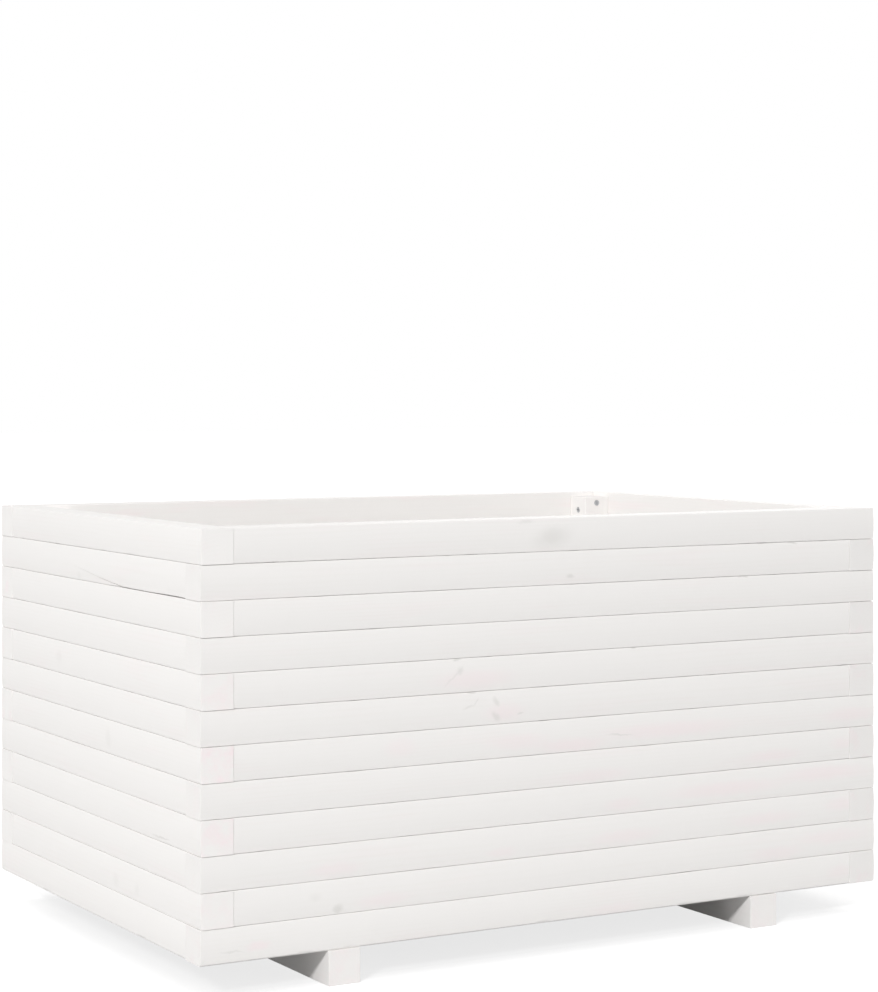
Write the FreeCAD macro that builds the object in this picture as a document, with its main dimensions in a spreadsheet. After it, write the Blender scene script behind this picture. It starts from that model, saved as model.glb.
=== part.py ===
import FreeCAD, Part
import math
import os
import re

from FreeCAD import Placement, Rotation, Vector
from Sketcher import Constraint

# A free-standing wooden planter. Twelve courses of square rails, whose corners alternate like
# brickwork, stand on two cross bearers. Battens inside the corners tie the courses together, and
# floor boards with drainage gaps lie on the bearers. Millimetres, +Z up, origin on the ground under
# the middle of the planter, front towards -Y.

SIZES = {
    # walls
    "planter_length": 900,
    "planter_width": 600,
    "course_count": 12,
    "course_height": 38,
    "rail_thickness": 38,
    "face_crown": 0.9,
    "rail_edge_radius": 0.6,
    "rail_end_radius": 0.3,
    "butt_gap": 0.3,
    # bearers under the walls
    "bearer_height": 38,
    "bearer_thickness": 38,
    "bearer_setback": 150,
    "bearer_edge_radius": 0.6,
    "bearer_end_radius": 0.3,
    # battens in the corners
    "batten_side": 38,
    "batten_rim_drop": 6,
    "batten_edge_radius": 1,
    "batten_end_radius": 0.5,
    # floor boards on the bearers
    "floor_board_count": 4,
    "floor_gap": 8,
    "floor_board_thickness": 18,
    "floor_end_gap": 3,
    "floor_edge_radius": 1,
    "floor_end_radius": 0.5,
    # countersunk screws
    "screw_diameter": 4,
    "screw_head_diameter": 8,
    "screw_head_rim": 0.3,
    "screw_tip_length": 6,
    "screw_tip_diameter": 0.6,
    "recess_width": 1.2,
    "recess_span": 4.4,
    "recess_depth": 1.6,
    # screws in the timber
    "rail_bite": 22.2,
    "bearer_bite": 27.2,
    "screw_clearance": 0.1,
    "head_sink": 0.2,
    "tip_room": 2,
    "screw_stagger": 5,
    "floor_screw_edge": 25,
}

# What follows from those sizes, kept as formulas on the same sheet
DERIVED = {
    "box_height": "course_count * course_height",
    "long_inside": "planter_length - 2 * rail_thickness",
    "short_inside": "planter_width - 2 * rail_thickness",
    "batten_height": "box_height - batten_rim_drop",
    "bearer_offset": "planter_length / 2 - bearer_setback - bearer_thickness / 2",
    "floor_board_width": "(short_inside - (floor_board_count + 1) * floor_gap) / floor_board_count",
    "screw_radius": "screw_diameter / 2",
    "screw_tip_radius": "screw_tip_diameter / 2",
    "screw_head_radius": "screw_head_diameter / 2",
    "screw_head_height": "screw_head_rim + screw_head_radius - screw_radius",
    "wall_screw_length": "batten_side - head_sink + rail_bite",
    "floor_screw_length": "floor_board_thickness - head_sink + bearer_bite",
    "wall_screw_shank": "wall_screw_length - screw_tip_length",
    "floor_screw_shank": "floor_screw_length - screw_tip_length",
    "hole_diameter": "screw_diameter + 2 * screw_clearance",
    "countersink_diameter": "screw_head_diameter + 2 * (head_sink + screw_head_rim + screw_clearance)",
    "side_hole_depth": "rail_bite + tip_room",
    "under_hole_depth": "head_sink + wall_screw_length - bearer_height + tip_room",
    "bearer_hole_depth": "bearer_bite + tip_room",
    "floor_length": "long_inside - 2 * floor_end_gap",
    "notch_depth": "batten_side + floor_end_gap - floor_gap",
}

# Each wall is drawn as seen from outside: it starts at its left end and turns about Z into place.
# The screws into the long walls sit above the middle of a course where those into the short walls
# sit below it, so that they pass each other inside the battens.
WALLS = {
    "front": {"turn": 0, "run": "planter_length", "x": "-planter_length / 2", "y": "-planter_width / 2"},
    "right": {"turn": 90, "run": "planter_width", "x": "planter_length / 2", "y": "-planter_width / 2"},
    "back": {"turn": 180, "run": "planter_length", "x": "planter_length / 2", "y": "planter_width / 2"},
    "left": {"turn": 270, "run": "planter_width", "x": "-planter_length / 2", "y": "planter_width / 2"},
}

# Each batten stands in the corner at the left end of a wall, seen from outside.
BATTENS = {
    "front_left": {"wall": "front", "x": "-long_inside / 2", "y": "-short_inside / 2"},
    "front_right": {"wall": "right", "x": "long_inside / 2", "y": "-short_inside / 2"},
    "back_right": {"wall": "back", "x": "long_inside / 2", "y": "short_inside / 2"},
    "back_left": {"wall": "left", "x": "-long_inside / 2", "y": "short_inside / 2"},
}

COUNTERSINK_ANGLE = 90
ACROSS = Vector(1, 0, 0)
INWARD = Vector(0, 1, 0)
UP = Vector(0, 0, 1)
# Sketcher's numbers for the origin, the two axes and the ends and centre of a line or arc
ORIGIN_INDEX, HORIZONTAL_INDEX, VERTICAL_INDEX = -1, -1, -2
START_INDEX, END_INDEX, CENTRE_INDEX = 1, 2, 3

doc = FreeCAD.newDocument("planter")
sheet = doc.addObject("Spreadsheet::Sheet", "Sizes")
cells = {alias: str(value) for alias, value in SIZES.items()}
cells.update({alias: "=" + formula for alias, formula in DERIVED.items()})
for row, (alias, text) in enumerate(cells.items(), start=1):
    sheet.set(f"A{row}", alias)
    sheet.set(f"B{row}", text)
    sheet.setAlias(f"B{row}", alias)
doc.recompute()

courses = range(1, SIZES["course_count"] + 1)
boards = range(1, SIZES["floor_board_count"] + 1)
pieces = []


def size(alias):
    return float(sheet.get(alias))


def bind(thing, name, formula):
    """Ties a property or constraint to a formula of the sheet's sizes."""
    thing.setExpression(name, re.sub(r"[a-z][a-z_]*", r"Sizes.\g<0>", formula))


def new_body(label, turn=0, **place):
    """A body turned about Z, with formulas for its x, y and z."""
    body = doc.addObject("PartDesign::Body", label)
    body.Label = label
    body.Placement = Placement(Vector(), Rotation(UP, turn))
    for axis, formula in place.items():
        bind(body, f"Placement.Base.{axis}", formula)
    return body


def new_sketch(body, name, plane, offset):
    """A sketch on an origin plane of the body, moved along the plane's normal by a formula."""
    sketch = body.newObject("Sketcher::SketchObject", name)
    support = next(f for f in body.Origin.OriginFeatures if f.Role == plane)
    sketch.AttachmentSupport = [(support, "")]
    sketch.MapMode = "FlatFace"
    if offset != "0":
        bind(sketch, "AttachmentOffset.Base.z", offset)
    return sketch


def place_point(sketch, item, point, here, x, y):
    """Ties a point of a sketch, which is here, to formulas for its place, where 0 is on the axis."""
    sides = (("DistanceX", VERTICAL_INDEX, x, here.x), ("DistanceY", HORIZONTAL_INDEX, y, here.y))
    for kind, axis, formula, now in sides:
        if formula == "0":
            sketch.addConstraint(Constraint("PointOnObject", item, point, axis))
        else:
            index = sketch.addConstraint(Constraint(kind, ORIGIN_INDEX, START_INDEX, item, point, now))
            bind(sketch, f"Constraints[{index}]", formula)


def add_outline(sketch, points, crowned=None):
    """A closed outline through points whose x and y are sizes of the sheet or 0. The side that starts
    at the point numbered crowned is an arc that touches the vertical axis."""
    spots = [Vector(*(0 if alias == "0" else size(alias) for alias in point)) for point in points]
    for n, start in enumerate(spots):
        end = spots[(n + 1) % len(spots)]
        if n == crowned:
            middle = Vector(0, (start.y + end.y) / 2)
            sketch.addGeometry(Part.Arc(start, middle, end))
        else:
            sketch.addGeometry(Part.LineSegment(start, end))
    for n, (x, y) in enumerate(points):
        sketch.addConstraint(Constraint("Coincident", n, END_INDEX, (n + 1) % len(points), START_INDEX))
        place_point(sketch, n, START_INDEX, spots[n], x, y)
    if crowned is not None:
        sketch.addConstraint(Constraint("Tangent", crowned, VERTICAL_INDEX))


def add_rectangle(sketch, x, y, wide, high):
    """A rectangle with formulas for its centre and its sides."""
    corners = [Vector(), ACROSS, ACROSS + INWARD, INWARD]
    for n in range(4):
        sketch.addGeometry(Part.LineSegment(corners[n], corners[(n + 1) % 4]))
    for n, kind in enumerate(("Horizontal", "Vertical", "Horizontal", "Vertical")):
        sketch.addConstraint(Constraint("Coincident", n, END_INDEX, (n + 1) % 4, START_INDEX))
        sketch.addConstraint(Constraint(kind, n))
    centre = (ACROSS + INWARD) / 2
    middle = sketch.addGeometry(Part.Point(centre))
    sketch.addConstraint(Constraint("Symmetric", 0, START_INDEX, 2, START_INDEX, middle, START_INDEX))
    place_point(sketch, middle, START_INDEX, centre, x, y)
    for side, kind, formula in ((0, "DistanceX", wide), (1, "DistanceY", high)):
        index = sketch.addConstraint(Constraint(kind, side, START_INDEX, side, END_INDEX, 1.0))
        bind(sketch, f"Constraints[{index}]", formula)


def cut(body, name, outline, depth):
    """Cuts an outline on the body's lower face upwards to a depth."""
    doc.recompute()
    whole = body.Tip.Shape.Volume
    pocket = body.newObject("PartDesign::Pocket", name)
    pocket.Profile = outline
    pocket.Reversed = True
    bind(pocket, "Length", depth)
    doc.recompute()
    if pocket.Shape.Volume >= whole:
        raise RuntimeError(f"{body.Label}: {name} cut nothing")


def round_edges(body, name, radius, wanted):
    """Rounds the edges of the body's last feature whose boxes are wanted."""
    base = body.Tip
    fillet = body.newObject("PartDesign::Fillet", name)
    fillet.Base = (base, [f"Edge{n}" for n, e in enumerate(base.Shape.Edges, start=1) if wanted(e.BoundBox)])
    bind(fillet, "Radius", radius)
    doc.recompute()


def make_bar(body, plane, points, start, length, edge_radius, end_radius, crowned=None):
    """A length of planed timber along the normal of a plane, with its long edges and its sawn ends
    rounded."""
    section = new_sketch(body, "section", plane, start)
    add_outline(section, points, crowned)
    doc.recompute()
    pad = body.newObject("PartDesign::Pad", "length")
    pad.Profile = section
    bind(pad, "Length", length)
    doc.recompute()
    axis = {"YZ_Plane": "XLength", "XY_Plane": "ZLength"}[plane]
    round_edges(body, "long_edges", edge_radius, lambda box: getattr(box, axis) > pad.Length.Value / 2)
    round_edges(body, "ends", end_radius, lambda box: getattr(box, axis) < pad.Length.Value / 1e4)
    pieces.append(body)


def drill(body, name, plane, face, centres, depth, along_normal=False, countersunk=False):
    """Holes at centres given as pairs of formulas, from a face that is parallel to an origin plane."""
    points = new_sketch(body, f"{name}_points", plane, face)
    for x, y in centres:
        anywhere = Vector(1, 1)
        ring = points.addGeometry(Part.Circle(anywhere, UP, 1))
        place_point(points, ring, CENTRE_INDEX, anywhere, x, y)
        index = points.addConstraint(Constraint("Diameter", ring, 1.0))
        bind(points, f"Constraints[{index}]", "hole_diameter")
    doc.recompute()
    whole = body.Tip.Shape.Volume
    hole = body.newObject("PartDesign::Hole", name)
    hole.Profile = points
    hole.DrillPoint = "Flat"
    hole.Reversed = along_normal
    bind(hole, "Diameter", "hole_diameter")
    if depth is None:
        hole.DepthType = "ThroughAll"
    else:
        hole.DepthType = "Dimension"
        bind(hole, "Depth", depth)
    if countersunk:
        hole.HoleCutType = "Countersink"
        hole.HoleCutCustomValues = True
        bind(hole, "HoleCutDiameter", "countersink_diameter")
        hole.HoleCutCountersinkAngle = COUNTERSINK_ANGLE
    doc.recompute()
    least = len(centres) * math.pi * (size("hole_diameter") / 2) ** 2 * size("screw_diameter")
    if whole - hole.Shape.Volume < least:
        raise RuntimeError(f"{body.Label}: {name} cut nothing")


def rises(wall, course):
    """Whether the wall's screws in this course sit above its middle. Course 1 is at the rim."""
    return (course % 2 == 1) == (wall["run"] == "planter_length")


def screw_level(wall, course):
    """The height of a wall's screws above the bottom of the course."""
    return "course_height / 2 " + ("+" if rises(wall, course) else "-") + " screw_stagger"


def other_wall(wall):
    """A wall of the other length, such as meets this one in a corner."""
    return next(w for w in WALLS.values() if w["run"] != wall["run"])


def make_rail(name, course):
    """One rail. In odd courses it butts against its neighbour at its left end and runs through to the
    corner at its right end, and in even courses the other way round."""
    wall = WALLS[name]
    run = wall["run"]
    rail = new_body(
        f"{name}_rail_{course:02}",
        wall["turn"],
        x=wall["x"],
        y=wall["y"],
        z=f"bearer_height + (course_count - {course}) * course_height",
    )
    section = [
        ("rail_thickness", "0"),
        ("rail_thickness", "course_height"),
        ("face_crown", "course_height"),
        ("face_crown", "0"),
    ]
    start = "rail_thickness + butt_gap" if course % 2 else "0"
    length = f"{run} - rail_thickness - butt_gap"
    make_bar(rail, "YZ_Plane", section, start, length, "rail_edge_radius", "rail_end_radius", crowned=2)
    level = screw_level(wall, course)
    ends = [
        ("rail_thickness + batten_side / 2", level),
        (f"{run} - rail_thickness - batten_side / 2", level),
    ]
    drill(rail, "batten_holes", "XZ_Plane", "-rail_thickness", ends, "side_hole_depth", along_normal=True)
    if run == "planter_length" and course == SIZES["course_count"]:
        over_bearers = [
            ("planter_length / 2 - bearer_offset", "rail_thickness / 2"),
            ("planter_length / 2 + bearer_offset", "rail_thickness / 2"),
        ]
        drill(rail, "bearer_holes", "XY_Plane", "0", over_bearers, "under_hole_depth", along_normal=True)


def board_start(board):
    """How far a floor board lies from the inside of the front wall."""
    return f"{board} * floor_gap + {board - 1} * floor_board_width"


def make_bearer(name, side):
    """A bearer under the front and back walls, drilled from below for the walls and from above for
    the floor boards."""
    bearer = new_body(
        f"bearer_{name}",
        90,
        x=f"{side} * bearer_offset + bearer_thickness / 2",
        y="-planter_width / 2",
    )
    section = [
        ("0", "0"),
        ("bearer_thickness", "0"),
        ("bearer_thickness", "bearer_height"),
        ("0", "bearer_height"),
    ]
    make_bar(bearer, "YZ_Plane", section, "0", "planter_width", "bearer_edge_radius", "bearer_end_radius")
    middle = "bearer_thickness / 2"
    walls = [("rail_thickness / 2", middle), ("planter_width - rail_thickness / 2", middle)]
    drill(bearer, "wall_holes", "XY_Plane", "0", walls, None, along_normal=True, countersunk=True)
    floor = []
    for board in boards:
        start = f"rail_thickness + {board_start(board)}"
        floor.append((f"{start} + floor_screw_edge", middle))
        floor.append((f"{start} + floor_board_width - floor_screw_edge", middle))
    drill(bearer, "floor_holes", "XY_Plane", "bearer_height", floor, "bearer_hole_depth")
    return bearer


def make_batten(name):
    """A batten in an inside corner, drilled for one screw into each course of both walls."""
    corner = BATTENS[name]
    wall = WALLS[corner["wall"]]
    batten = new_body(f"batten_{name}", wall["turn"], x=corner["x"], y=corner["y"], z="bearer_height")
    section = [
        ("0", "0"),
        ("batten_side", "0"),
        ("batten_side", "batten_side"),
        ("0", "batten_side"),
    ]
    make_bar(batten, "XY_Plane", section, "0", "batten_height", "batten_edge_radius", "batten_end_radius")
    other = other_wall(wall)
    for hole, plane, face, faced, flip in (
        ("own_wall_holes", "XZ_Plane", "-batten_side", wall, True),
        ("other_wall_holes", "YZ_Plane", "batten_side", other, False),
    ):
        rows = []
        for course in courses:
            level = f"(course_count - {course}) * course_height + {screw_level(faced, course)}"
            rows.append(("batten_side / 2", level))
        drill(batten, hole, plane, face, rows, None, along_normal=flip, countersunk=True)
    return batten


def make_floor_board(board):
    """A floor board on the bearers. The first and last are notched around the battens."""
    plank = new_body(
        f"floor_board_{board}",
        x="-floor_length / 2",
        y=f"-short_inside / 2 + {board_start(board)}",
        z="bearer_height",
    )
    section = [
        ("0", "0"),
        ("floor_board_width", "0"),
        ("floor_board_width", "floor_board_thickness"),
        ("0", "floor_board_thickness"),
    ]
    make_bar(plank, "YZ_Plane", section, "0", "floor_length", "floor_edge_radius", "floor_end_radius")
    if board in (boards[0], boards[-1]):
        y = "notch_depth / 2" if board == boards[0] else "floor_board_width - notch_depth / 2"
        for end, x in (("left", "batten_side / 2"), ("right", "floor_length - batten_side / 2")):
            notch = new_sketch(plank, f"{end}_notch_outline", "XY_Plane", "0")
            add_rectangle(notch, x, y, "batten_side", "notch_depth")
            cut(plank, f"{end}_notch", notch, "floor_board_thickness")
    centres = []
    for side in ("-", "+"):
        x = f"floor_length / 2 {side} bearer_offset"
        centres.append((x, "floor_screw_edge"))
        centres.append((x, "floor_board_width - floor_screw_edge"))
    drill(plank, "screw_holes", "XY_Plane", "floor_board_thickness", centres, None, countersunk=True)
    return plank


def make_screw(label, length, shank):
    """A countersunk screw that points up from the top of its head, with a cross recess."""
    screw = new_body(label)
    profile = new_sketch(screw, "profile", "XZ_Plane", "0")
    points = [
        ("0", "0"),
        ("screw_head_radius", "0"),
        ("screw_head_radius", "screw_head_rim"),
        ("screw_radius", "screw_head_height"),
        ("screw_radius", shank),
        ("screw_tip_radius", length),
        ("0", length),
    ]
    add_outline(profile, points)
    doc.recompute()
    turned = screw.newObject("PartDesign::Revolution", "turned")
    turned.Profile = profile
    turned.ReferenceAxis = (profile, ["V_Axis"])
    turned.Angle = 360
    doc.recompute()
    for slot, wide, high in (
        ("slot_x", "recess_span", "recess_width"),
        ("slot_y", "recess_width", "recess_span"),
    ):
        outline = new_sketch(screw, f"{slot}_outline", "XY_Plane", "0")
        add_rectangle(outline, "0", "0", wide, high)
        cut(screw, slot, outline, "recess_depth")
    return screw


def make_screw_group(label, screw, places):
    """One solid for each place, as a group."""
    group = doc.addObject("Part::Feature", label)
    group.Label = label
    group.Shape = Part.makeCompound([screw.Shape.transformed(place.Matrix) for place in places])
    pieces.append(group)


def batten_screws(name):
    """Where the screws in a batten go, one into each course of both walls."""
    own = WALLS[BATTENS[name]["wall"]]
    half = size("batten_side") / 2
    places = []
    for course in courses:
        middle = (SIZES["course_count"] - course + 0.5) * size("course_height")
        for wall, axis in ((own, INWARD), (other_wall(own), ACROSS)):
            shift = size("screw_stagger") if rises(wall, course) else -size("screw_stagger")
            head = Vector(half, half, middle + shift) + axis * (half - size("head_sink"))
            places.append(battens[name].Placement * Placement(head, Rotation(UP, -axis)))
    return places


def bearer_screws(bearer):
    """Where the screws from below a bearer into the front and back walls go."""
    inset = size("rail_thickness") / 2
    places = []
    for along in (inset, size("planter_width") - inset):
        head = Vector(along, size("bearer_thickness") / 2, size("head_sink"))
        places.append(bearer.Placement * Placement(head, Rotation()))
    return places


def board_screws(board):
    """Where the screws from a floor board down into both bearers go."""
    edge = size("floor_screw_edge")
    places = []
    for x in (-size("bearer_offset"), size("bearer_offset")):
        for y in (edge, size("floor_board_width") - edge):
            level = size("floor_board_thickness") - size("head_sink")
            head = Vector(size("floor_length") / 2 + x, y, level)
            places.append(board.Placement * Placement(head, Rotation(ACROSS, 180)))
    return places


for course in courses:
    for wall_name in WALLS:
        make_rail(wall_name, course)
bearers = [make_bearer("left", -1), make_bearer("right", 1)]
battens = {name: make_batten(name) for name in BATTENS}
floor_boards = [make_floor_board(board) for board in boards]

long_screw = make_screw("long_screw", "wall_screw_length", "wall_screw_shank")
short_screw = make_screw("short_screw", "floor_screw_length", "floor_screw_shank")
wall_places = [place for name in BATTENS for place in batten_screws(name)]
wall_places += [place for bearer in bearers for place in bearer_screws(bearer)]
floor_places = [place for board in floor_boards for place in board_screws(board)]
make_screw_group("wall_screws", long_screw, wall_places)
make_screw_group("floor_screws", short_screw, floor_places)
doc.recompute()

failed = [o.Label for o in doc.Objects if {"Invalid", "Error"} & set(o.State)]
failed += [p.Label for p in pieces if p.Shape.isNull() or not p.Shape.isValid()]
if failed:
    raise RuntimeError("not built: " + ", ".join(failed))

os.makedirs("parts", exist_ok=True)
for piece in pieces:
    piece.Shape.exportStep(f"parts/{piece.Label}.step")
solids = sum(len(piece.Shape.Solids) for piece in pieces)
print(f"{len(pieces)} nodes, {solids} solids")
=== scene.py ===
import functools
import math
import random

import bpy
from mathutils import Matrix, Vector


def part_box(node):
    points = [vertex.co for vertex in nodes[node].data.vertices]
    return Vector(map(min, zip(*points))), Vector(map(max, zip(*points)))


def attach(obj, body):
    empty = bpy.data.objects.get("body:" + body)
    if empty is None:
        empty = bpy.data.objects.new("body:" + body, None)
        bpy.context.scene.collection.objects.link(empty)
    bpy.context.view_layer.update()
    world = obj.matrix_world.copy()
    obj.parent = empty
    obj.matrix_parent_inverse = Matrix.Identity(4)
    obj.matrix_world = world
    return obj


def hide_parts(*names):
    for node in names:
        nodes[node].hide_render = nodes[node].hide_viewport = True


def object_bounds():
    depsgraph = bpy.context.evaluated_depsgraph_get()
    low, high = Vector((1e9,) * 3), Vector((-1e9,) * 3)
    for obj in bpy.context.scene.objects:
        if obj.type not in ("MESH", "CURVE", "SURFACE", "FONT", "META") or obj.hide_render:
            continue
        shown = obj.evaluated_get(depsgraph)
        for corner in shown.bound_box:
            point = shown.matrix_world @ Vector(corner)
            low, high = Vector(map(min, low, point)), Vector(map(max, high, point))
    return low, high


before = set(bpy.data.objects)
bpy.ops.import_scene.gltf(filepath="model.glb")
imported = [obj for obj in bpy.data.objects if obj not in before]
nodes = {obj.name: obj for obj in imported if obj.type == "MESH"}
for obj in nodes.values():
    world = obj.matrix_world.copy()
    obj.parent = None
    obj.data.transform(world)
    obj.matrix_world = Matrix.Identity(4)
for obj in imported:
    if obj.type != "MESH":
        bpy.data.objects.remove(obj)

# A free-standing planter of white-painted pine: square rails in alternating courses on two bearers,
# with corner battens and floor boards inside. Metres, the frame's own axes, front towards -Y.
mm = 0.001
cadBox = [list(corner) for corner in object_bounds()]
scene = bpy.context.scene
print("frame:", len(nodes), "nodes")

# the node kinds that come up most, and the sockets of a mix of colours
scalarMath = "ShaderNodeMath"
vectorMath = "ShaderNodeVectorMath"
mapRange = "ShaderNodeMapRange"
noiseTexture = "ShaderNodeTexNoise"
splitXyz = "ShaderNodeSeparateXYZ"
joinXyz = "ShaderNodeCombineXYZ"
colourMix = "ShaderNodeMix"
mixShare, mixFrom, mixTo = 0, 6, 7


def linear(hexColour):
    channels = [int(hexColour[i:i + 2], 16) / 255 for i in (1, 3, 5)]
    return [c / 12.92 if c <= 0.04045 else ((c + 0.055) / 1.055) ** 2.4 for c in channels] + [1]


def addNode(tree, kind, links=None, **settings):
    node = tree.nodes.new(kind)
    for name, value in settings.items():
        setattr(node, name, value)
    for socket, value in (links or {}).items():
        if isinstance(value, bpy.types.Node):
            value = next(s for s in value.outputs if s.enabled)
        if isinstance(value, bpy.types.NodeSocket):
            tree.links.new(value, node.inputs[socket])
        else:
            node.inputs[socket].default_value = value
    return node


def ends(side, values):
    return {side + " Min": values[0], side + " Max": values[1]}


def emptyMaterial(name):
    material = bpy.data.materials.new(name)
    material.use_nodes = True
    material.node_tree.nodes.clear()
    return material, functools.partial(addNode, material.node_tree)


def linkObject(name, data):
    thing = bpy.data.objects.new(name, data)
    scene.collection.objects.link(thing)
    return thing


# Camera: a long lens, level, from in front of the left corner. The horizon lies above the middle.
photoCamera = {
    "eye": (-1.507, -2.626, 0.640),
    "turn": -30,  # degrees from looking straight at the front
    "lens": 88.84,  # mm
    "shiftUp": -0.1086,
}


def addCamera(look):
    lens = bpy.data.cameras.new("photoCamera")
    lens.lens = look["lens"]
    lens.shift_y = look["shiftUp"]
    scene.camera = linkObject("photoCamera", lens)
    scene.camera.location = look["eye"]
    scene.camera.rotation_euler = (math.radians(90), 0, math.radians(look["turn"]))


addCamera(photoCamera)
print("camera set")

# White paint, sprayed on planed pine: an even matt film that lets the growth rings, the knots and a
# little pink resin show through as the faintest shades. The sawn ends drink it, so that they dry pinker.
# The sawn ends of each wall are also drawn a little lighter or darker, as painted light and shade.
paint = {
    "white": "#F0EEEC",
    "grain": "#EEECE9",
    "pink": "#F4E6E8",
    # the colour of the knots, and of the painted shade in a few grooves
    "knot": "#DDDBD8",
    "ringWidth": 4.5 * mm,
    "ringWobble": 9 * mm,
    "lateWood": -0.2,  # height of a ring's sine wave at which its dark late wood sets in
    # noise drawn out along the grain: length, width and detail
    "wobble": (300 * mm, 30 * mm, 2),
    "fibres": (45 * mm, 1.6 * mm, 3),  # drawn coarse, because the real fibres are too fine to show
    "patches": (130 * mm, 22 * mm, 3),
    # the levels of the patches' noise between which the grain, the resin and the soaked ends come out
    "grainRange": (0.35, 0.65),
    "resinRange": (0.52, 0.72),
    "soakRange": (0.4, 0.65),
    "resinShare": 0.12,
    "knottyResinShare": 0.3,  # on the rails whose knots are left to chance
    "knotSpacing": 85 * mm,
    "knotSize": 9 * mm,
    "knotStretch": 1.5,
    "knotEdge": (1.2, 0.4),  # where such a knot begins and where it is full, in knot sizes
    "knotChance": 0.35,
    "knotShare": 0.6,
    "markEdge": (1.2, 0.2),  # the same for a mark of a known place, in its own half sizes
    "markGrain": 12 * mm,
    "markDetail": 2,
    "markWander": 7 * mm,
    "roughness": (0.64, 0.8),
    "specular": 0.25,
    "filmDepth": 0.015 * mm,
    # pieces that aren't rails
    "endTint": 0.25,
    "pith": (0, 21 * mm, -27 * mm),
    "grainApart": 7,  # how many times further apart than the pieces their grain is taken
}


def cadTimber(add, node):
    # measured from the middle of the piece, with X turned along its grain
    low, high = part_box(node)
    size = high - low
    middle = (low + high) / 2
    grain = max(range(3), key=lambda axis: size[axis])
    turn = ((0, 0, 0), (0, 0, math.radians(90)), (0, math.radians(-90), 0))[grain]
    where = add("ShaderNodeTexCoord").outputs
    place = add(
        "ShaderNodeMapping",
        {"Vector": where["Object"], "Location": middle, "Rotation": turn},
        vector_type="TEXTURE",
    )
    facing = add(splitXyz, {0: where["Normal"]}).outputs[grain]
    sawn = add(scalarMath, {0: facing}, operation="ABSOLUTE")
    endTint = add(scalarMath, {0: sawn, 1: paint["endTint"]}, operation="MULTIPLY")
    return place, middle * paint["grainApart"], paint["pith"], endTint


def grainNoise(add, place, length, width, detail):
    drawnOut = add(vectorMath, {0: place, 1: (1 / length, 1 / width, 1 / width)}, operation="MULTIPLY")
    return add(noiseTexture, {"Vector": drawnOut, "Scale": 1, "Detail": detail}).outputs["Fac"]


def lateWoodRings(add, place, pith, wobble):
    # growth rings round the pith, which make arcs on the ends and long streaks on the faces
    fromPith = add(vectorMath, {0: place, 1: (0, 1, 1), 2: pith}, operation="MULTIPLY_ADD")
    fromPith = add(vectorMath, {0: fromPith}, operation="LENGTH").outputs["Value"]
    phase = add(scalarMath, {0: wobble, 1: paint["ringWobble"], 2: fromPith}, operation="MULTIPLY_ADD")
    phase = add(scalarMath, {0: phase, 1: 2 * math.pi / paint["ringWidth"]}, operation="MULTIPLY")
    rings = add(scalarMath, {0: phase}, operation="SINE")
    return add(
        mapRange,
        {"Value": rings, "From Min": paint["lateWood"], "From Max": 1},
        interpolation_type="SMOOTHSTEP",
    )


def knownMark(add, place, along, up, halfLength, halfHeight, tilt, share):
    # an oval with soft edges, as deep as the timber is thick
    oval = add(
        "ShaderNodeMapping",
        {
            "Vector": place,
            "Location": (along * mm, 0, up * mm),
            "Rotation": (0, -math.radians(tilt), 0),
            "Scale": (halfLength * mm, 1, halfHeight * mm),
        },
        vector_type="TEXTURE",
    )
    fromMiddle = add(vectorMath, {0: oval}, operation="LENGTH").outputs["Value"]
    return add(
        mapRange,
        {"Value": fromMiddle, **ends("From", paint["markEdge"]), "To Max": share},
        interpolation_type="SMOOTHSTEP",
    )


def looseKnots(add, place, shift):
    # branches that grew straight through the timber, in some of the cells of an uneven grid
    within = add(vectorMath, {0: place, 1: shift}, operation="ADD")
    within = add(splitXyz, {0: within}).outputs
    along = add(scalarMath, {0: within["X"], 1: paint["knotStretch"]}, operation="DIVIDE")
    branches = add(
        "ShaderNodeTexVoronoi",
        {
            "Vector": add(joinXyz, {"X": along, "Y": within["Z"]}),
            "Scale": 1 / paint["knotSpacing"],
        },
        voronoi_dimensions="2D",
    ).outputs
    reach = paint["knotSize"] / paint["knotSpacing"]
    spot = add(
        mapRange,
        {
            "Value": branches["Distance"],
            **ends("From", [edge * reach for edge in paint["knotEdge"]]),
            "To Max": paint["knotShare"],
        },
        interpolation_type="SMOOTHSTEP",
    )
    draw = add("ShaderNodeSeparateColor", {0: branches["Color"]}).outputs
    chosen = add(scalarMath, {0: draw["Red"], 1: paint["knotChance"]}, operation="LESS_THAN")
    chosen = add(scalarMath, {0: chosen, 1: draw["Green"]}, operation="MULTIPLY")
    return add(scalarMath, {0: spot, 1: chosen}, operation="MULTIPLY")


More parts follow.
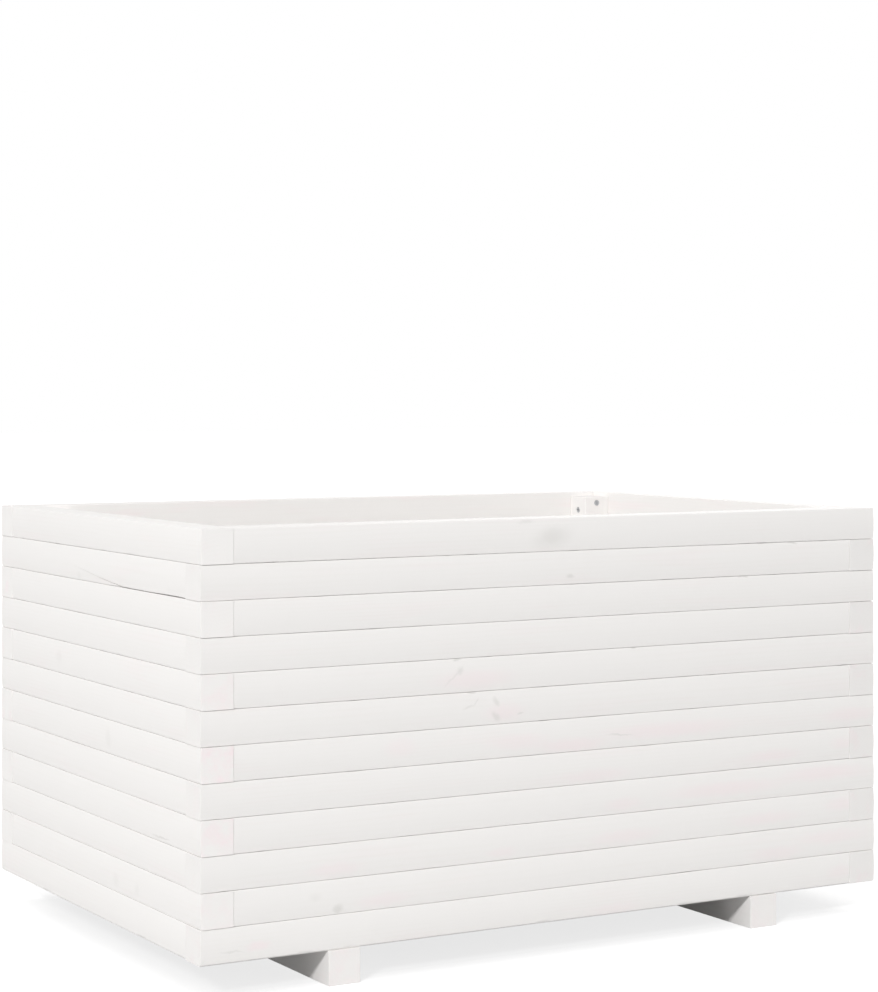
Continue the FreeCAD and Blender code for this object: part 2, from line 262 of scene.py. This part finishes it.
def paintedPine(name, node=None, marks=(), knotty=False):
    material, add = emptyMaterial(name)
    if node is None:  # a rail carries its own place, shift and pith
        place, shift, pith = (
            add("ShaderNodeAttribute", attribute_name=word).outputs["Vector"]
            for word in ("railPlace", "grainShift", "pith")
        )
        endTint, endTone = (
            add("ShaderNodeAttribute", attribute_name=word).outputs["Fac"]
            for word in ("endTint", "endTone")
        )
    else:
        place, shift, pith, endTint = cadTimber(add, node)
    shifted = add(vectorMath, {0: place, 1: shift}, operation="ADD")
    wobble, fibres, patches = (
        grainNoise(add, shifted, *paint[word])
        for word in ("wobble", "fibres", "patches")
    )

    # the grain comes and goes with the patches, in which the pink resin lies
    shown = add(mapRange, {"Value": patches, **ends("From", paint["grainRange"])})
    lateWood = lateWoodRings(add, place, pith, wobble)
    grainShare = add(scalarMath, {0: lateWood, 1: fibres}, operation="MULTIPLY")
    grainShare = add(scalarMath, {0: grainShare, 1: shown}, operation="MULTIPLY")
    resinShare = paint["knottyResinShare" if knotty else "resinShare"]
    resin = add(
        mapRange,
        {"Value": patches, **ends("From", paint["resinRange"]), "To Max": resinShare},
        interpolation_type="SMOOTHSTEP",
    )
    soaked = add(mapRange, {"Value": patches, **ends("From", paint["soakRange"])})
    soaked = add(scalarMath, {0: endTint, 1: soaked}, operation="MULTIPLY")

    # what shows through the white, one over the other
    shades = [(grainShare, "grain"), (resin, "pink")]
    if marks or knotty:
        ragged = add(
            noiseTexture,
            {"Vector": shifted, "Scale": 1 / paint["markGrain"], "Detail": paint["markDetail"]},
        )
        wander = add(vectorMath, {0: ragged.outputs["Color"], 1: (-0.5,) * 3}, operation="ADD")
        wander = add(vectorMath, {0: wander, "Scale": paint["markWander"]}, operation="SCALE")
        touched = add(vectorMath, {0: place, 1: wander}, operation="ADD")
        shades += [(knownMark(add, touched, *mark), kind) for kind, *mark in marks]
        if knotty:
            shades.append((looseKnots(add, touched, shift), "knot"))
    shades.append((soaked, "pink"))
    colour = linear(paint["white"])
    for share, shade in shades:
        colour = add(
            colourMix,
            {mixShare: share, mixFrom: colour, mixTo: linear(paint[shade])},
            data_type="RGBA",
        )
    # painted light and shade: the sawn ends of each wall are scaled lighter or darker
    if node is None:
        endShadeScale = add(scalarMath, {0: endTone, 1: 1}, operation="ADD")
        colour = add(vectorMath, {0: colour, "Scale": endShadeScale}, operation="SCALE")

    height = add(scalarMath, {0: grainShare, 1: -1}, operation="MULTIPLY")
    bump = add("ShaderNodeBump", {"Strength": 1, "Distance": paint["filmDepth"], "Height": height})
    rough = add(mapRange, {"Value": fibres, **ends("To", paint["roughness"])})
    shader = add(
        "ShaderNodeBsdfPrincipled",
        {
            "Base Color": colour,
            "Roughness": rough,
            "Normal": bump,
            "Specular IOR Level": paint["specular"],
        },
    )
    add("ShaderNodeOutputMaterial", {"Surface": shader})
    return material


# Bright zinc on steel screws: a cold grey metal with a fine mottled plating.
zinc = {
    "light": "#D6D8DA",
    "dark": "#BBBEC1",
    "crystal": 0.9 * mm,
    "crystalDetail": 2,
    "roughness": (0.37, 0.57),
}


def zincPlatedSteel(name):
    material, add = emptyMaterial(name)
    mottle = add(
        noiseTexture,
        {
            "Vector": add("ShaderNodeTexCoord").outputs["Object"],
            "Scale": 1 / zinc["crystal"],
            "Detail": zinc["crystalDetail"],
        },
    ).outputs["Fac"]
    colour = add(
        colourMix,
        {mixShare: mottle, mixFrom: linear(zinc["dark"]), mixTo: linear(zinc["light"])},
        data_type="RGBA",
    )
    rough = add(mapRange, {"Value": mottle, **ends("To", zinc["roughness"])})
    shader = add("ShaderNodeBsdfPrincipled", {"Base Color": colour, "Metallic": 1, "Roughness": rough})
    add("ShaderNodeOutputMaterial", {"Surface": shader})
    return material


for node in nodes:
    if node.endswith("_screws"):
        nodes[node].material_slots[0].material = zincPlatedSteel("zinc-plated steel, " + node)
    elif "_rail_" not in node:
        nodes[node].material_slots[0].material = paintedPine("white paint on planed pine, " + node, node)
print("materials made")

# Rails: one length of planed timber, with a crowned outer face and eased edges, repeated at the place
# and length of each rail of the frame.
rail = {
    "crown": 1.1 * mm,
    "edgeRadius": 0.6 * mm,
    "endRadius": 0.2 * mm,
    "bottomCourse": 12,
    "foot": 0.9 * mm,  # how far the lower edge of the bottom course is cut back
    "footRange": (-0.925, -0.97),  # where that cut begins and where it is full, in half heights
    "jointPaint": 0.2 * mm,  # how much the paint narrows the joint where a rail butts against another
    "seam": 0.06 * mm,  # least open joint between one course and the next
    "seamWave": 0.07 * mm,  # how far each rail's edges open it further
    "seamRate": 16,  # waves to a metre, here and below
    "seamDetail": 2,
    "seamRange": (0.35, 0.65),  # levels of the noise between which a joint opens
    "wave": 0.2 * mm,  # how far the planed faces wander
    "waveRates": (8, 25, 25),
    "waveDetail": 1,
    "nick": 0.5 * mm,  # how deep the edges are bruised
    "nickRate": 45,
    "nickDetail": 1,
    "nickRange": (0.62, 0.8),  # levels of the noise between which a bruise deepens
    "nickFrom": 0.85,  # how far out from the rail's middle bruises begin, in its half sizes
    "edgesApart": 0.5,  # metres between the noise of the middle and of an edge, so that edges differ
    "spacing": 5 * mm,  # between the rows of points along a rail
    "acrossCells": (12, 14),  # through the thickness and up the height
    "roundCells": 2,  # of those, how many at each side turn an edge
    "crease": 40,  # degrees past which an edge is drawn sharp
    "endTint": (0, 0.1),
    "grainShift": (1, 9),  # metres, so that no two rails share their grain
    "pithAside": (-50 * mm, 50 * mm),
    "pithUp": (20 * mm, 60 * mm),  # or as far down
    "seed": 11,
}
wallTurns = {"front": 0, "right": 90, "back": 180, "left": 270}  # degrees about Z
knottyWalls = ("right", "back")

# What shows through the paint of a rail: kind, along and up from its middle in mm, half length and half
# height in mm, degrees of rise and how strongly it shows. The knot-coloured marks 18.5 mm up, on a rail's
# top edge, are painted shade in the groove above it.
railMarks = {
    "front_rail_01": [
        ("knot", -35, -3, 32, 15, 8, 0.4),
        ("knot", -36, -2, 13, 9, 8, 0.25),
        ("knot", -70, 15.5, 13, 3, 0, 0.45),
    ],
    # the mark 18.5 mm up is painted shade in the groove above this rail
    "front_rail_02": [("knot", 27, -10, 7, 3, 0, 0.7), ("knot", 343, 18.5, 9, 2, 0, 1)],
    # the mark 18.5 mm up is painted shade in the groove above this rail
    "front_rail_03": [("knot", 233, 18.5, 9, 2, 0, 1)],
    "front_rail_05": [
        ("pink", -137, -5, 60, 13.4, 0, 0.42),
        ("knot", -156, 5, 6, 5, 45, 0.5),
        # the two marks 18.5 mm up are painted shade in the groove above this rail
        ("knot", -159, 18.5, 6, 2.5, 0, 1),
        ("knot", 77, 18.5, 6, 2.5, 0, 1),
        ("knot", -163, 0, 19, 1.6, 43, 0.35),
    ],
    "front_rail_06": [
        ("pink", -61, -6, 31, 12.3, 0, 0.42),
        ("knot", -71, 6.5, 7.5, 3.8, -50, 0.6),
        ("knot", -71, -10, 8, 4.5, -50, 0.6),
        # the mark 18.5 mm up is painted shade in the groove above this rail
        ("knot", -103, 18.5, 7, 2.5, 0, 1),
        ("knot", -97, 8, 6, 1.4, 52, 0.45),
        ("knot", -107, 2.5, 9, 1.4, 12, 0.45),
        ("knot", -40, -9, 5, 1.4, 0, 0.6),
    ],
    "front_rail_07": [
        ("pink", -232, 2, 24, 12.3, 0, 0.3),
        ("pink", -80, -2, 48, 11.2, 0, 0.35),
        ("pink", -9, -11, 55, 10.1, 0, 0.5),
        ("pink", 132, -3, 110, 11.2, 0, 0.45),
        ("pink", 394, -3, 48, 11.2, 0, 0.4),
        ("knot", 57, -4, 21, 1.2, -6, 0.6),
    ],
    "front_rail_08": [
        ("pink", 63, -10, 53, 9, 0, 0.35),
        ("pink", 316, -6, 46, 9, 0, 0.35),
        ("pink", 421, 1, 24, 9, 0, 0.35),
    ],
    "front_rail_09": [
        ("pink", 61, -8, 30, 9, 0, 0.35),
        ("pink", 209, -2, 98, 11.2, 0, 0.45),
        ("pink", 352, 5, 74, 11.2, 0, 0.45),
    ],
    "front_rail_10": [
        ("pink", -271, -8, 38, 9, 0, 0.35),
        ("pink", -65, -10, 25, 6.7, 0, 0.3),
        ("pink", 101, -7, 56, 10.1, 0, 0.35),
        ("pink", 305, -4, 59, 10.1, 0, 0.35),
        ("pink", 418, 3, 31, 10.1, 0, 0.35),
    ],
    "front_rail_11": [
        ("pink", -252, -9, 40, 9, 0, 0.35),
        ("pink", 280, -9, 47, 10.1, 0, 0.35),
        ("pink", 365, 3, 65, 10.1, 0, 0.35),
        ("knot", -308, -13, 7, 6, 0, 0.7),
        ("knot", -336, 2, 10, 6, 0, 0.2),
    ],
    "front_rail_12": [
        ("pink", -364, -4, 17, 6.7, 0, 0.5),
        ("pink", 90, -13, 46, 7.8, 0, 0.3),
        ("pink", 415, -2, 24, 10.1, 0, 0.3),
        ("knot", -395, -7.5, 15, 1.6, -5, 0.5),
    ],
    "left_rail_02": [("knot", -22, -15, 7, 6, 0, 0.2)],
    "left_rail_05": [("knot", -122, 0, 12, 9, 0, 0.2)],
    "left_rail_07": [("knot", 30, -1, 14, 9, -70, 0.2)],
    "left_rail_09": [("knot", 177, -14, 27, 1.4, 0, 0.75)],
    "left_rail_11": [("knot", 52, -5, 9, 9, 0, 0.22), ("knot", 112, -6, 8, 9, 0, 0.2)],
}
# painted light and shade: how much lighter or darker the sawn ends of each wall's rails are drawn than
# their faces
paintedEndShades = {"front": -0.016, "right": -0.03, "back": 0.01, "left": 0.022}
# the pink of the sawn ends, where it isn't left to chance
endTints = {"left_rail_05": 0.4, "left_rail_07": 0.9, "left_rail_09": 0.65, "left_rail_11": 0.3}

# The split in one left rail: a shake that runs down to the lower edge, which is open from there on.
# Along and up in mm from the rail's middle, and how far the cut reaches from that line.
railSplit = {
    "node": "left_rail_02",
    "path": [
        (-38, -3, 0.08),
        (-5, -6.5, 0.16),
        (40, -12, 0.22),
        (88, -16.5, 0.35),
        (108, -18.7, 0.9),
        (150, -19, 1),
        (185, -19, 0.8),
        (225, -19, 1.3),
        (262, -19, 1.4),
        (277, -19, 0.9),
        (282, -19, 0.2),
    ],
    "depth": 12,  # how many times deeper than high the cut is
    "sides": 6,
}

railInputs = {
    "Size": "Vector",
    "Cells": "Vector",
    "Radii": "Vector",
    "Crown": "Float",
    "Foot": "Float",
    "Wave": "Float",
    "Seam Wave": "Float",
    "Nick": "Float",
    "End Tint": "Float",
    # painted light and shade of the sawn ends, wall by wall
    "End Tone": "Float",
    "Shift": "Vector",
    "Pith": "Vector",
    "Is Split": "Bool",
    "Split": "Object",
    "Split Depth": "Float",
    "Turn": "Vector",
    "Place": "Vector",
    "Paint": "Material",
}


def easeEdges(add, given, half):
    # each point's share of the way out from the middle, then the flat core and the turn of the edge
    ones = (1, 1, 1)
    spot = add("GeometryNodeInputPosition")
    side = add(vectorMath, {0: spot}, operation="SIGN")
    share = add(vectorMath, {0: spot}, operation="ABSOLUTE")
    share = add(vectorMath, {0: share, 1: half}, operation="DIVIDE")
    turning = (2 * rail["roundCells"],) * 3
    turning = add(vectorMath, {0: turning, 1: given["Cells"]}, operation="DIVIDE")
    flatEnd = add(vectorMath, {0: ones, 1: turning}, operation="SUBTRACT")
    flat = add(vectorMath, {0: share, 1: flatEnd}, operation="DIVIDE")
    flat = add(vectorMath, {0: flat, 1: ones}, operation="MINIMUM")
    flat = add(vectorMath, {0: flat, "Scale": math.pi / 2}, operation="SCALE")
    flat = add(vectorMath, {0: flat}, operation="SINE")
    core = add(vectorMath, {0: half, 1: given["Radii"]}, operation="SUBTRACT")
    core = add(vectorMath, {0: core, 1: flat}, operation="MULTIPLY")
    core = add(vectorMath, {0: core, 1: side}, operation="MULTIPLY")
    bend = add(vectorMath, {0: share, 1: flatEnd}, operation="SUBTRACT")
    bend = add(vectorMath, {0: bend, 1: turning}, operation="DIVIDE")
    bend = add(vectorMath, {0: bend, 1: (0, 0, 0)}, operation="MAXIMUM")
    bend = add(vectorMath, {0: bend, "Scale": math.pi / 4}, operation="SCALE")
    bend = add(vectorMath, {0: bend}, operation="TANGENT")
    outward = add(vectorMath, {0: bend, 1: side}, operation="MULTIPLY")
    outward = add(vectorMath, {0: outward}, operation="NORMALIZE")
    eased = add(vectorMath, {0: outward, 1: given["Radii"], 2: core}, operation="MULTIPLY_ADD")
    return eased, outward


def crownDepth(add, given, level):
    # the outer face swells towards its middle, and its lower edge is cut back at the foot of the box
    rise = add(scalarMath, {0: level["Z"], 1: 2}, operation="POWER")
    outer = add(mapRange, {"Value": level["Y"], **ends("From", (1, -1))})
    sink = add(scalarMath, {0: rise, 1: outer}, operation="MULTIPLY")
    sink = add(scalarMath, {0: sink, 1: given["Crown"]}, operation="MULTIPLY")
    foot = add(mapRange, {"Value": level["Z"], **ends("From", rail["footRange"]), "To Max": given["Foot"]})
    return add(scalarMath, {0: foot, 1: outer, 2: sink}, operation="MULTIPLY_ADD")


def wornDepth(add, given, level, eased, outward):
    # faces that wander a little, joints that open and close and edges with small bruises, all of them
    # into the timber
    shifted = add(vectorMath, {0: eased, 1: given["Shift"]}, operation="ADD")
    drawnOut = add(vectorMath, {0: shifted, 1: rail["waveRates"]}, operation="MULTIPLY")
    wave = add(noiseTexture, {"Vector": drawnOut, "Scale": 1, "Detail": rail["waveDetail"]})
    wave = add(scalarMath, {0: wave.outputs["Fac"], 1: given["Wave"]}, operation="MULTIPLY")
    edgeLine = add(
        joinXyz,
        {
            "X": add(splitXyz, {0: shifted}).outputs["X"],
            "Y": add(scalarMath, {0: level["Z"], 1: rail["edgesApart"]}, operation="MULTIPLY"),
            "Z": add(splitXyz, {0: given["Shift"]}).outputs["Z"],
        },
    )
    depths = {}
    for word, most in {"seam": given["Seam Wave"], "nick": given["Nick"]}.items():
        noise = add(
            noiseTexture,
            {"Vector": edgeLine, "Scale": rail[word + "Rate"], "Detail": rail[word + "Detail"]},
        )
        depths[word] = add(
            mapRange,
            {"Value": noise.outputs["Fac"], **ends("From", rail[word + "Range"]), "To Max": most},
        )
    nearEdge = add(scalarMath, {0: level["Z"]}, operation="ABSOLUTE")
    nearEdge = add(mapRange, {"Value": nearEdge, **ends("From", (rail["nickFrom"], 1))})
    nearFace = add(mapRange, {"Value": level["Y"], **ends("From", (-rail["nickFrom"], -1))})
    nearBoth = add(scalarMath, {0: nearEdge, 1: nearFace}, operation="MULTIPLY")
    bruise = add(scalarMath, {0: depths["nick"], 1: nearBoth}, operation="MULTIPLY")
    closer = add(scalarMath, {0: depths["seam"], 1: bruise}, operation="ADD")
    closer = add(scalarMath, {0: closer, 1: level["Z"]}, operation="MULTIPLY")
    inward = add(vectorMath, {0: outward, "Scale": wave}, operation="SCALE")
    return add(vectorMath, {0: inward, 1: add(joinXyz, {"Z": closer})}, operation="ADD")


def cutSplit(add, given, half, timber):
    # a cut along a line with a width of its own, into the outer face
    line = add("GeometryNodeObjectInfo", {"Object": given["Split"]}).outputs["Geometry"]
    outline = add("GeometryNodeCurvePrimitiveCircle", {"Resolution": railSplit["sides"], "Radius": 1})
    cutter = add(
        "GeometryNodeCurveToMesh",
        {
            "Curve": line,
            "Profile Curve": outline,
            "Scale": add("GeometryNodeInputRadius"),
            "Fill Caps": True,
        },
    )
    toFace = add(vectorMath, {0: half, 1: (0, -1, 0)}, operation="MULTIPLY")
    deep = add(joinXyz, {"X": 1, "Y": given["Split Depth"], "Z": 1})
    cutter = add("GeometryNodeTransform", {"Geometry": cutter, "Translation": toFace, "Scale": deep})
    opened = add(
        "GeometryNodeMeshBoolean",
        {"Mesh 1": timber, "Mesh 2": cutter},
        operation="DIFFERENCE",
        solver="MANIFOLD",
    )
    return add(
        "GeometryNodeSwitch",
        {"Switch": given["Is Split"], "False": timber, "True": opened},
        input_type="GEOMETRY",
    )


def railTree():
    tree = bpy.data.node_groups.new("planedRail", "GeometryNodeTree")
    sockets = {}
    for name, kind in railInputs.items():
        socket = tree.interface.new_socket(name, in_out="INPUT", socket_type="NodeSocket" + kind)
        sockets[name] = socket.identifier
    tree.interface.new_socket("Geometry", in_out="OUTPUT", socket_type="NodeSocketGeometry")
    add = functools.partial(addNode, tree)
    given = add("NodeGroupInput").outputs

    cells = add(splitXyz, {0: given["Cells"]}).outputs
    counts = {
        "Vertices " + axis: add(scalarMath, {0: cells[axis], 1: 1}, operation="ADD")
        for axis in "XYZ"
    }
    timber = add("GeometryNodeMeshCube", {"Size": given["Size"], **counts})
    half = add(vectorMath, {0: given["Size"], "Scale": 0.5}, operation="SCALE")
    eased, outward = easeEdges(add, given, half)
    level = add(vectorMath, {0: eased, 1: half}, operation="DIVIDE")
    level = add(splitXyz, {0: level}).outputs
    sink = add(joinXyz, {"Y": crownDepth(add, given, level)})
    worn = wornDepth(add, given, level, eased, outward)
    finalPlace = add(vectorMath, {0: eased, 1: sink}, operation="ADD")
    finalPlace = add(vectorMath, {0: finalPlace, 1: worn}, operation="SUBTRACT")

    # the ends' pink and their painted light and shade are stored while the points still lie on the plain
    # block
    sawn = add(splitXyz, {0: outward}).outputs["X"]
    sawn = add(scalarMath, {0: sawn}, operation="ABSOLUTE")
    for name, value in {"endTint": given["End Tint"], "endTone": given["End Tone"]}.items():
        value = add(scalarMath, {0: sawn, 1: value}, operation="MULTIPLY")
        timber = add("GeometryNodeStoreNamedAttribute", {"Geometry": timber, "Name": name, "Value": value})
    timber = add("GeometryNodeSetPosition", {"Geometry": timber, "Position": finalPlace})
    timber = cutSplit(add, given, half, timber)
    carried = {
        "railPlace": add("GeometryNodeInputPosition"),
        "grainShift": given["Shift"],
        "pith": given["Pith"],
    }
    for name, value in carried.items():
        timber = add(
            "GeometryNodeStoreNamedAttribute",
            {"Geometry": timber, "Name": name, "Value": value},
            data_type="FLOAT_VECTOR",
        )

    timber = add("GeometryNodeSetShadeSmooth", {"Geometry": timber, "Shade Smooth": True})
    angle = add("GeometryNodeInputMeshEdgeAngle").outputs["Unsigned Angle"]
    crease = add(
        "FunctionNodeCompare",
        {"A": angle, "B": math.radians(rail["crease"])},
        operation="GREATER_THAN",
    )
    timber = add(
        "GeometryNodeSetShadeSmooth",
        {"Geometry": timber, "Selection": crease, "Shade Smooth": False},
        domain="EDGE",
    )
    timber = add(
        "GeometryNodeTransform",
        {"Geometry": timber, "Translation": given["Place"], "Rotation": given["Turn"]},
    )
    timber = add("GeometryNodeRealizeInstances", {"Geometry": timber})
    timber = add("GeometryNodeSetMaterial", {"Geometry": timber, "Material": given["Paint"]})
    add("NodeGroupOutput", {"Geometry": timber})
    return tree, sockets


def splitLine(split):
    curve = bpy.data.curves.new("splitLine", "CURVE")
    curve.dimensions = "3D"
    spline = curve.splines.new("POLY")
    spline.points.add(len(split["path"]) - 1)
    for point, (along, up, reach) in zip(spline.points, split["path"]):
        point.co = (along * mm, 0, up * mm, 1)
        point.radius = reach * mm
    return linkObject("splitLine", curve)


def railValues(name, wall, chance):
    low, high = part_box(name)
    course = int(name[-2:])
    size = high - low
    if wallTurns[wall] % 180:
        size = Vector((size.y, size.x, size.z))
    size.z -= rail["seam"]
    size.x += rail["jointPaint"]
    angle = math.radians(wallTurns[wall])
    buttSide = -1 if course % 2 else 1  # odd courses butt at the left, seen from outside
    towardsButt = Vector((math.cos(angle), math.sin(angle), 0)) * buttSide
    return {
        "Size": size,
        "Cells": (round(size.x / rail["spacing"]),) + rail["acrossCells"],
        "Radii": (rail["endRadius"], rail["edgeRadius"], rail["edgeRadius"]),
        "Crown": rail["crown"],
        "Foot": rail["foot"] if course == rail["bottomCourse"] else 0.0,
        "Wave": rail["wave"],
        "Seam Wave": rail["seamWave"],
        "Nick": rail["nick"],
        "End Tint": endTints.get(name, chance.uniform(*rail["endTint"])),
        # painted light and shade on the sawn ends, set for each wall
        "End Tone": paintedEndShades[wall],
        "Shift": [chance.uniform(*rail["grainShift"]) for axis in range(3)],
        "Pith": (
            0,
            chance.uniform(*rail["pithAside"]),
            chance.uniform(*rail["pithUp"]) * chance.choice((-1, 1)),
        ),
        "Turn": (0, 0, angle),
        "Place": (low + high) / 2 + towardsButt * rail["jointPaint"] / 2,
    }


def makeRails():
    tree, sockets = railTree()
    line = splitLine(railSplit)
    chance = random.Random(rail["seed"])
    plainPaint = paintedPine("white paint on planed pine, rails")
    knottyPaint = paintedPine("white paint on knotty planed pine, rails", knotty=True)
    made = {}
    for wall in wallTurns:
        for name in sorted(n for n in nodes if n.startswith(wall + "_rail_")):
            values = railValues(name, wall, chance)
            values["Paint"] = knottyPaint if wall in knottyWalls else plainPaint
            if name in railMarks:
                values["Paint"] = paintedPine("white paint on planed pine, " + name, marks=railMarks[name])
            if name == railSplit["node"]:
                values.update({"Is Split": True, "Split": line, "Split Depth": railSplit["depth"]})
            piece = linkObject(name + "_timber", bpy.data.meshes.new(name + "_timber"))
            modifier = piece.modifiers.new("planedRail", "NODES")
            modifier.node_group = tree
            for word, value in values.items():
                modifier[sockets[word]] = value
            made[name] = piece
    graph = bpy.context.evaluated_depsgraph_get()
    meshes = {}
    for name, piece in made.items():
        meshes[name] = bpy.data.meshes.new_from_object(piece.evaluated_get(graph))
    for name, piece in made.items():
        piece.modifiers.clear()
        piece.data = meshes[name]
        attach(piece, "root")
        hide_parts(name)
    bpy.data.objects.remove(line)
    faces = sum(len(mesh.polygons) for mesh in meshes.values())
    print("rails:", len(made), "pieces,", faces, "faces")


makeRails()

# Studio: one fairly small key lamp far off to the left of the front, a broad soft lamp behind to the
# right, a pale sky and a white floor, painted dark under the planter as painted shade and paler round it
# as painted light.
lamps = {
    # the level is what a white card facing the lamp sends back
    "keyLamp": {"towards": (-0.66, -0.565, 0.5), "distance": 12, "size": 1.4, "level": 0.555},
    "fillLamp": {"towards": (0.62, 0.73, 0.2), "distance": 6, "size": 3, "level": 0.35},
}
studio = {
    "white": "#FFFFFF",
    "skyLevels": (0.95, 0.52),  # at the horizon and overhead
    "floorSize": 60,
    # painted shade: a darker floor under the planter; painted light: a paler floor round it
    "paintedShadeUnder": "#767676",
    "paintedLightNear": "#C3C3C3",
    "floorFar": "#B2B2B2",
    "underRange": (0.9, 1),  # where the painted shade ends, in half lengths and half widths of the planter
    "nearRange": (0.5, 1.2),  # metres from the middle
    "glowUnder": 0.78,  # the glow lifts the lit floor to white, for the camera alone
    "glowNear": 0.65,
    "glowFar": 1,
    "glowRange": (0.6, 2.2),
}


def addLamp(name, towards, distance, size, level):
    lamp = bpy.data.lights.new(name, "AREA")
    lamp.shape = "DISK"
    lamp.size = size
    lamp.energy = level * (math.pi * distance) ** 2
    aim = Vector(towards).normalized()
    thing = linkObject(name, lamp)
    thing.location = aim * distance
    thing.rotation_euler = aim.to_track_quat("Z", "Y").to_euler()


def cameraRays(add):
    path = add("ShaderNodeLightPath").outputs
    seen = add(scalarMath, {0: path["Is Camera Ray"], 1: path["Is Glossy Ray"]}, operation="MAXIMUM")
    return add(scalarMath, {0: seen, 1: path["Is Transmission Ray"]}, operation="MAXIMUM")


def addSky():
    world = bpy.data.worlds.new("paleSky")
    world.use_nodes = True
    world.node_tree.nodes.clear()
    add = functools.partial(addNode, world.node_tree)
    where = add("ShaderNodeTexCoord").outputs["Generated"]
    upward = add(splitXyz, {0: where}).outputs["Z"]
    level = add(mapRange, {"Value": upward, **ends("To", studio["skyLevels"])})
    light = add("ShaderNodeBackground", {"Color": linear(studio["white"]), "Strength": level})
    backdrop = add("ShaderNodeBackground", {"Color": linear(studio["white"]), "Strength": 1})
    sky = add("ShaderNodeMixShader", {0: cameraRays(add), 1: light, 2: backdrop})
    add("ShaderNodeOutputWorld", {"Surface": sky})
    scene.world = world


def floorPaint(name):
    # painted shade: dark under the planter; painted light: pale round it; and fading to the white of the
    # sky away from it
    material, add = emptyMaterial(name)
    where = add("ShaderNodeTexCoord").outputs["Object"]
    reach = add(vectorMath, {0: where}, operation="ABSOLUTE")
    reach = add(vectorMath, {0: reach, 1: (cadBox[1][0], cadBox[1][1], 1)}, operation="DIVIDE")
    reach = add(splitXyz, {0: reach}).outputs
    edge = add(scalarMath, {0: reach["X"], 1: reach["Y"]}, operation="MAXIMUM")
    outside = add(mapRange, {"Value": edge, **ends("From", studio["underRange"])})
    away = add(vectorMath, {0: where}, operation="LENGTH").outputs["Value"]
    further = add(mapRange, {"Value": away, **ends("From", studio["nearRange"])})
    colour = add(
        colourMix,
        {mixShare: further, mixFrom: linear(studio["paintedLightNear"]), mixTo: linear(studio["floorFar"])},
        data_type="RGBA",
    )
    colour = add(
        colourMix,
        {mixShare: outside, mixFrom: linear(studio["paintedShadeUnder"]), mixTo: colour},
        data_type="RGBA",
    )
    glow = add(mapRange, {"Value": outside, **ends("To", (studio["glowUnder"], studio["glowNear"]))})
    glow = add(
        mapRange,
        {"Value": away, **ends("From", studio["glowRange"]), **ends("To", (glow, studio["glowFar"]))},
        interpolation_type="SMOOTHSTEP",
    )
    glow = add(scalarMath, {0: glow, 1: cameraRays(add)}, operation="MULTIPLY")
    matt = add("ShaderNodeBsdfDiffuse", {"Color": colour})
    glowing = add("ShaderNodeEmission", {"Color": linear(studio["white"]), "Strength": glow})
    surface = add("ShaderNodeAddShader", {0: matt, 1: glowing})
    add("ShaderNodeOutputMaterial", {"Surface": surface})
    return material


def addFloor():
    half = studio["floorSize"] / 2
    corners = [(-half, -half, 0), (half, -half, 0), (half, half, 0), (-half, half, 0)]
    mesh = bpy.data.meshes.new("studioFloor")
    mesh.from_pydata(corners, [], [(0, 1, 2, 3)])
    mesh.materials.append(floorPaint("matt white studio floor"))
    linkObject("studioFloor", mesh)


for name, lamp in lamps.items():
    addLamp(name, **lamp)
addSky()
addFloor()
scene.view_settings.view_transform = "Standard"
print("studio lit")

bpy.context.view_layer.update()
